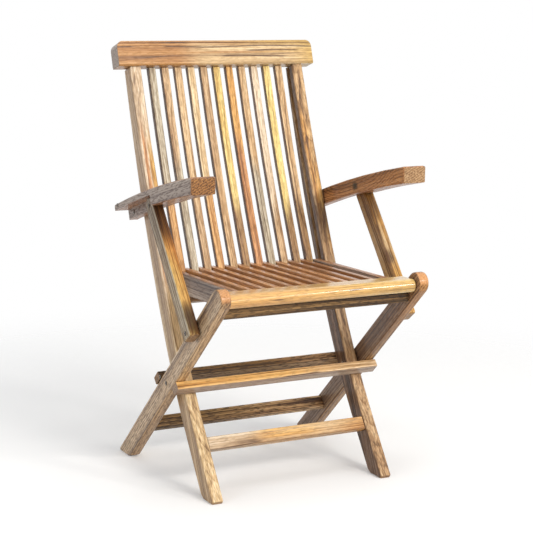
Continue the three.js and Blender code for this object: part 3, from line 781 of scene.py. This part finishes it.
# %% Four turned heads
# The outline from the rim to the middle, as how far from the axis and how far out of the wood
HEAD = [(0.0042, 0.0), (0.0040, 0.0005), (0.0030, 0.0010), (0.0016, 0.0012), (0.0014, 0.0004), (0.0, 0.0004)]
HEAD_STEPS = 24
SAME_HEAD_POINT = 0.00001


def screw_head(name, body, at, side):
    """A low head that faces out to the left for side -1 and to the right for side 1."""
    form = bmesh.new()
    spine = [form.verts.new((at[0] + side * out, at[1], at[2] + reach)) for reach, out in HEAD]
    edges = [form.edges.new(pair) for pair in zip(spine, spine[1:])]
    bmesh.ops.spin(form, geom=spine + edges, cent=at, axis=ACROSS_CHAIR, angle=math.tau, steps=HEAD_STEPS,
                   use_merge=True)
    bmesh.ops.remove_doubles(form, verts=form.verts, dist=SAME_HEAD_POINT)
    bmesh.ops.recalc_face_normals(form, faces=form.faces)
    for face in form.faces:
        face.smooth = True
    mesh = bpy.data.meshes.new(name)
    form.to_mesh(mesh)
    form.free()
    mesh.materials.append(steel)
    head = bpy.data.objects.new(name, mesh)
    bpy.context.scene.collection.objects.link(head)
    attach(head, body)
    return head


ARM_TAIL = (0.1518, 0.5316)
STOP_RAIL_END = (0.0029, 0.2094)
for part, side in (("left", -1), ("right", 1)):
    corner = 0 if side < 0 else 1
    arm_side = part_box(f"arm_{part}")[corner][0]
    screw_head(f"arm_tail_screw_{part}", body_of_node[f"arm_{part}"], (arm_side, *ARM_TAIL), side)
    rail_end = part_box("rear_stop_rail")[corner][0]
    screw_head(f"rear_stop_screw_{part}", body_of_node["rear_stop_rail"], (rail_end, *STOP_RAIL_END), side)
print("loose heads stand out by", max(out for _, out in HEAD) * 1000, "mm")

# %% [markdown]
# ## The white floor
#
# The chair stands on a white sweep. A curved sweep would need more room than the lamps leave, so
# this is a flat floor that fades out with distance. It is a little brighter to the camera than its
# light alone makes it, and only the shadow stays on the white.

# %% The floor
FLOOR_HALF = 2.5
FLOOR_WHITE = (0.8, 0.8, 0.8, 1.0)
FLOOR_ROUGHNESS = 0.9
FLOOR_GLOW = 0.17
FADE_FROM, FADE_TO = 0.7, 1.6
BLACK, WHITE = (0, 0, 0, 1.0), (1, 1, 1, 1.0)


def white_floor():
    form = bmesh.new()
    corners = [(-1, -1), (1, -1), (1, 1), (-1, 1)]
    form.faces.new([form.verts.new((x * FLOOR_HALF, y * FLOOR_HALF, 0)) for x, y in corners])
    mesh = bpy.data.meshes.new("floor")
    form.to_mesh(mesh)
    form.free()
    finish = Finish("white_floor")
    away = finish.vector("LENGTH", finish.coordinate("Object"), output="Value")
    glow = finish.mix(BLACK, WHITE, finish.studio_rays())
    finish.set(Base_Color=FLOOR_WHITE, Roughness=FLOOR_ROUGHNESS, Emission_Color=glow,
               Emission_Strength=FLOOR_GLOW, Alpha=1 - away.rise(FADE_FROM, FADE_TO))
    mesh.materials.append(finish.material)
    floor = bpy.data.objects.new("floor", mesh)
    bpy.context.scene.collection.objects.link(floor)
    return floor


white_floor()
print("the floor fades out from", FADE_FROM, "to", FADE_TO, "m")

# %% [markdown]
# ## The white world
#
# A white world at full strength would light the chair from all sides and wash it out. So the world
# lights it at half strength, and only the rays that show the world itself find it white.

# %% The world
WORLD_LIGHT = 0.5
world = bpy.data.worlds.new("studio")
bpy.context.scene.world = world
world.use_nodes = True
studio = Graph(world.node_tree)
background = studio.tree.nodes["Background"]
studio.plug(background.inputs["Strength"], WORLD_LIGHT + studio.studio_rays() * (1 - WORLD_LIGHT))
studio.plug(background.inputs["Color"], WHITE)
print("the world lights the chair at", WORLD_LIGHT)

# %% [markdown]
# ## Lamps
#
# The key lamp is wide and stands to the front right, so the shadows fall softly to the back left. A
# small lamp beside it gives the round edges their sheen, one above lights the seat, and a faint
# cool one keeps the left sides of the boards from going dark.

# %% Four round lamps
# Each lamp: its place, the height it points at over the middle of the chair, its size, watts and colour
LAMPS = {
    "key": ((1.0, -4.6, 2.8), 0.4, 1.8, 150, (1.0, 0.96, 0.90)),
    "sheen": ((2.0, -2.9, 1.9), 0.6, 0.5, 26, (1.0, 0.97, 0.92)),
    "top": ((0.0, -0.6, 3.4), 0.45, 2.0, 36, (1.0, 0.99, 0.97)),
    "fill": ((-3.0, -0.6, 1.6), 0.45, 2.0, 18, (0.80, 0.90, 1.0)),
}
for name, (place, aim, size, power, colour) in LAMPS.items():
    data = bpy.data.lights.new(name, "AREA")
    data.shape = "DISK"
    data.size = size
    data.energy = power
    data.color = colour
    lamp = bpy.data.objects.new(name, data)
    lamp.location = place
    lamp.rotation_euler = (Vector((0, 0, aim)) - Vector(place)).to_track_quat("-Z", "Y").to_euler()
    bpy.context.scene.collection.objects.link(lamp)
print("lamps:", len(LAMPS), "with", sum(row[3] for row in LAMPS.values()), "W in all")

# %% [markdown]
# ## The camera
#
# The camera was worked out from the photograph, with the corners of the boards as known points. It
# stands to the front left, a metre above the floor, and is rolled by almost one degree.

# %% Place the camera
CAMERA_PLACE = Vector((-1.446293, -2.746756, 1.000965))
CAMERA_AHEAD = Vector((0.459867, 0.871020, -0.172761))
CAMERA_ROLL = math.radians(0.9327)
CAMERA_LENS = 106.0436
CAMERA_SHIFT = (0.00156, -0.03865)
SENSOR = 36.0

camera_data = bpy.data.cameras.new("camera")
camera_data.sensor_width = SENSOR
camera_data.lens = CAMERA_LENS
camera_data.shift_x, camera_data.shift_y = CAMERA_SHIFT
camera = bpy.data.objects.new("camera", camera_data)
turn = CAMERA_AHEAD.to_track_quat("-Z", "Y").to_matrix() @ Matrix.Rotation(CAMERA_ROLL, 3, "Z")
camera.matrix_world = Matrix.Translation(CAMERA_PLACE) @ turn.to_4x4()
bpy.context.scene.collection.objects.link(camera)
bpy.context.scene.camera = camera
bpy.context.scene.view_settings.view_transform = "Standard"
print("the camera is", round(CAMERA_PLACE.length, 2), "m from the foot of the chair")

# %% [markdown]
# ## The last update
#
# The dressed chair has to keep the size of its frame. The last cell brings the scene up to date.

# %% Update the scene
bpy.context.view_layer.update()
